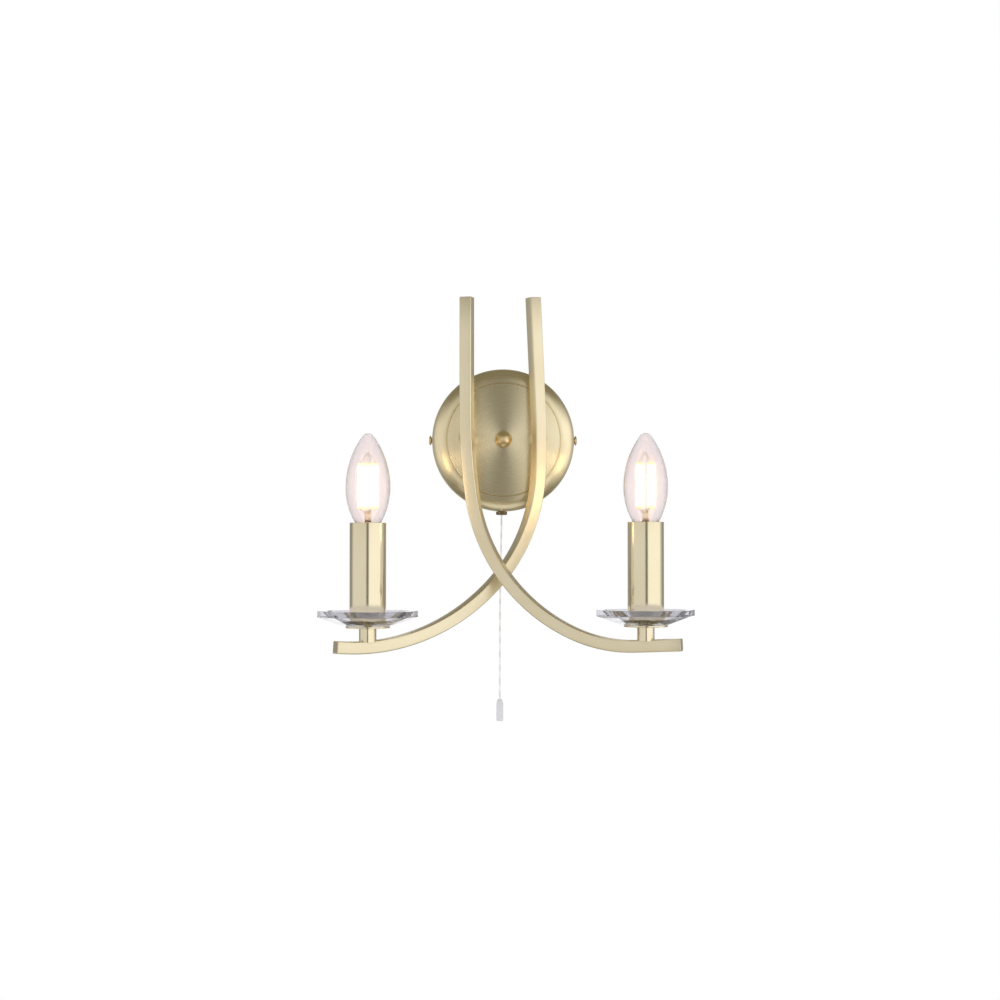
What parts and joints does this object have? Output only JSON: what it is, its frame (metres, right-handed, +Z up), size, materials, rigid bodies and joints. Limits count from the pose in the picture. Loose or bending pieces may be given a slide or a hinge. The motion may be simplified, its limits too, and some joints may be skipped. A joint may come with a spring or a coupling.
{
  "type": "wall light",
  "caption": "Wall light with crossing bent square arms on a round stepped backplate, each with a crystal drip dish and a candle bulb, and a pull cord switch.",
  "frame": {"origin": "centre of the wall screw pattern on the wall plane, which is the backplate's centre", "axes": "+Z up, +Y into the wall, the lamps are in front at -Y, +X to the viewer's right"},
  "size_m": [0.3014, 0.1461, 0.3546],
  "materials": {
    "satin_brass": "satin, brushed and lacquered",
    "raw_brass": "turned, plain",
    "zinc_steel": "zinc plated",
    "crystal": "clear, cut and polished",
    "bulb_glass": "clear",
    "filament": "lit, warm white",
    "nickel": "nickel plated",
    "black_glass": "glossy",
    "holder_plastic": "moulded thermoset",
    "white_plastic": "moulded",
    "white_cord": "braided",
    "lead_insulation": "extruded"
  },
  "bodies": {
    "root": {"arm_end_plugs": "satin_brass", "arm_lock_washers": "zinc_steel", "back_arm": "satin_brass", "back_arm_boss": "satin_brass", "back_arm_nipple": "raw_brass", "back_arm_nut": "raw_brass", "backplate": "satin_brass", "centre_knob": "satin_brass", "centre_stud": "raw_brass", "cord_outlet": "raw_brass", "earth_screw": "zinc_steel", "front_arm": "satin_brass", "front_arm_boss": "satin_brass", "front_arm_nipple": "raw_brass", "front_arm_nut": "raw_brass", "left_candle_tube": "satin_brass", "left_centre_contact": "raw_brass", "left_crystal_dish": "crystal", "left_flange": "satin_brass", "left_lamp_nipple": "raw_brass", "left_lamp_nut": "raw_brass", "left_lampholder": "holder_plastic", "left_lead": "lead_insulation", "left_stem": "satin_brass", "left_thread_shell": "raw_brass", "outlet_nut": "raw_brass", "reinforcing_bar": "zinc_steel", "return_spring": "zinc_steel", "right_candle_tube": "satin_brass", "right_centre_contact": "raw_brass", "right_crystal_dish": "crystal", "right_flange": "satin_brass", "right_lamp_nipple": "raw_brass", "right_lamp_nut": "raw_brass", "right_lampholder": "holder_plastic", "right_lead": "lead_insulation", "right_stem": "satin_brass", "right_thread_shell": "raw_brass", "side_screws": "satin_brass", "switch_body": "white_plastic", "switch_contacts": "raw_brass", "switch_cover": "white_plastic", "terminal_block": "white_plastic", "terminal_screws": "zinc_steel", "wall_bracket": "zinc_steel"},
    "left_bulb": {"left_bulb_glass": "bulb_glass", "left_bulb_cap": "nickel", "left_bulb_contact": "black_glass", "left_bulb_stem": "bulb_glass", "left_bulb_filaments": "filament", "left_bulb_supports": "nickel"},
    "right_bulb": {"right_bulb_glass": "bulb_glass", "right_bulb_cap": "nickel", "right_bulb_contact": "black_glass", "right_bulb_stem": "bulb_glass", "right_bulb_filaments": "filament", "right_bulb_supports": "nickel"},
    "slider": {"switch_slider": "white_plastic"},
    "cord": {"pull_cord": "white_cord", "cord_pull": "white_plastic"}
  },
  "joints": [
    {"name": "cord_pull_down", "type": "slide", "parent": "root", "child": "slider", "axis": [0, 0, -1], "range_m": [0, 0.006], "stiffness_N_per_m": 300, "deforming": ["return_spring"]},
    {"name": "cord_swing", "type": "hinge", "parent": "slider", "child": "cord", "pos_m": [-0.0012, -0.008, -0.06205], "axis": [0, 1, 0], "range_deg": [-15, 15]},
    {"name": "left_bulb_out", "type": "slide", "parent": "root", "child": "left_bulb", "axis": [0, 0, 1], "range_m": [0, 0.045]},
    {"name": "right_bulb_out", "type": "slide", "parent": "root", "child": "right_bulb", "axis": [0, 0, 1], "range_m": [0, 0.045]}
  ]
}
